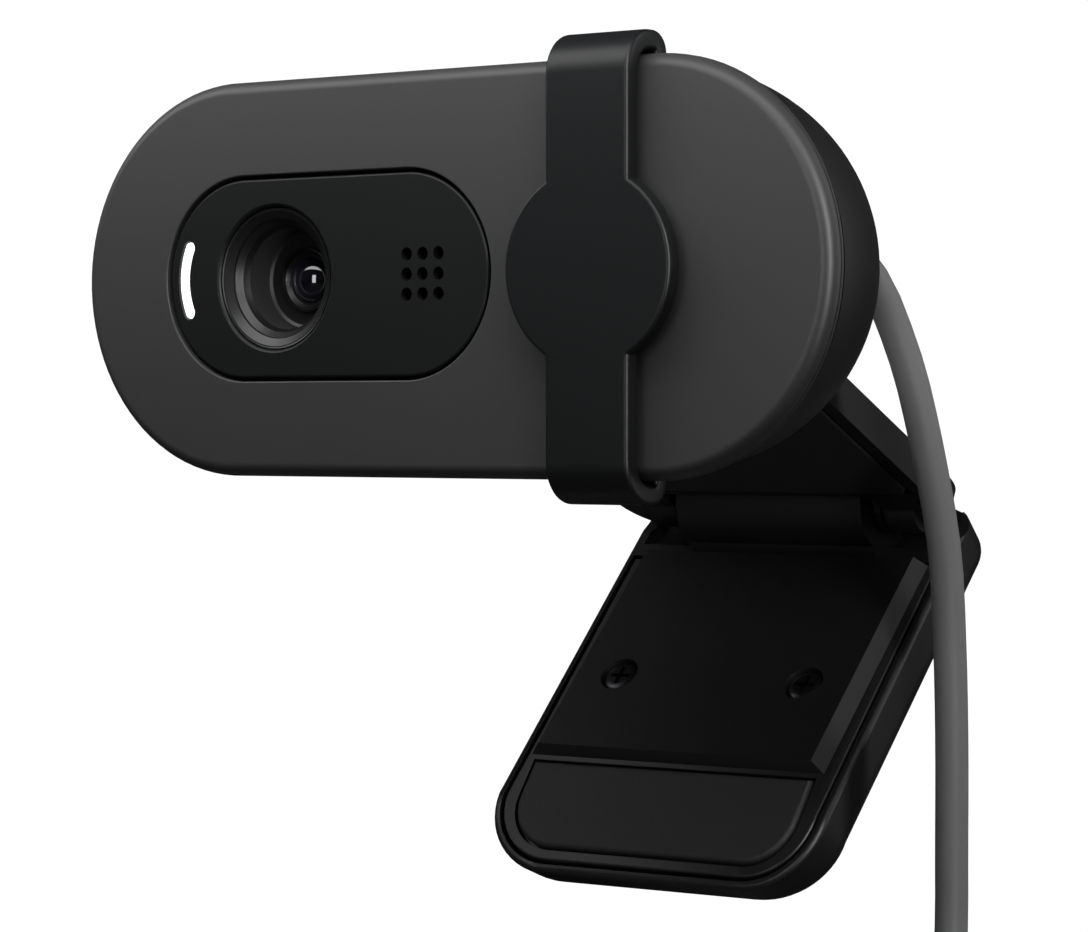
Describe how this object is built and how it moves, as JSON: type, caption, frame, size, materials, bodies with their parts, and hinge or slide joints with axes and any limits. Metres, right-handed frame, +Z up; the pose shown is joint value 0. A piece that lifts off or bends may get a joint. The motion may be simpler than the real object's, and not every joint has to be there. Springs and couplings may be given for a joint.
{
  "type": "webcam on monitor clip",
  "caption": "Pill-shaped webcam with a sliding privacy shutter on a folding clip that hooks over a monitor, with a captive USB lead, a tied coil and a plug.",
  "frame": {"origin": "middle of the grip pad under the arm, the face that rests on a monitor's top edge", "axes": "+Z up, -Y the way the camera looks, +X along the head, away from the lens end"},
  "size_m": [0.0728, 0.0784, 0.0858],
  "materials": {
    "graphite_plastic": "matte graphite",
    "black_plastic": "matte black",
    "black_rubber": "matte",
    "steel": "plain",
    "lens_glass": "coated, polished",
    "circuit_board": "solder resist",
    "chip_black": "moulded",
    "light_pipe": "clear white",
    "connector_ivory": "ivory",
    "cord_sheath": "soft grey sheath"
  },
  "bodies": {
    "head": {"front_shell": "graphite_plastic", "face_insert": "black_plastic", "lens_hood": "black_plastic", "lens_barrel": "black_plastic", "front_lens": "lens_glass", "rear_lens": "lens_glass", "lens_holder": "black_plastic", "image_sensor": "chip_black", "main_board": "circuit_board", "board_screw_upper": "steel", "board_screw_lower": "steel", "led_light_pipe": "light_pipe", "status_led": "light_pipe", "microphone": "steel", "mic_gasket": "black_rubber", "rear_cover": "black_plastic", "cable_strain_relief": "black_rubber", "cable_connector": "connector_ivory", "inner_lead": "black_rubber"},
    "slider": {"privacy_slider": "black_plastic"},
    "arm": {"arm_frame": "black_plastic", "arm_grip_pad": "black_rubber", "tilt_pin": "steel", "fold_pin": "steel", "tilt_washer_left": "steel", "tilt_washer_right": "steel", "fold_washer_left": "steel", "fold_washer_right": "steel", "cable": "cord_sheath", "cable_coil": "cord_sheath", "cable_tie": "black_rubber", "cable_tail": "cord_sheath", "plug_strain_relief": "black_rubber", "plug_grip": "black_plastic", "plug_shell": "steel", "plug_tongue": "connector_ivory"},
    "leg": {"leg_shell": "black_plastic", "leg_cover": "black_plastic", "leg_rubber_pad": "black_rubber", "leg_screw_left": "steel", "leg_screw_right": "steel"}
  },
  "joints": [
    {"name": "head_tilt", "type": "hinge", "parent": "arm", "child": "head", "pos_m": [0, -0.01773, 0.01063], "axis": [1, 0, 0], "range_deg": [-12, 15]},
    {"name": "shutter_slide", "type": "slide", "parent": "head", "child": "slider", "axis": [1, 0, 0], "range_m": [-0.0323, 0]},
    {"name": "leg_fold", "type": "hinge", "parent": "arm", "child": "leg", "pos_m": [0, 0.01527, -0.00568], "axis": [1, 0, 0], "range_deg": [-42, 60]}
  ]
}
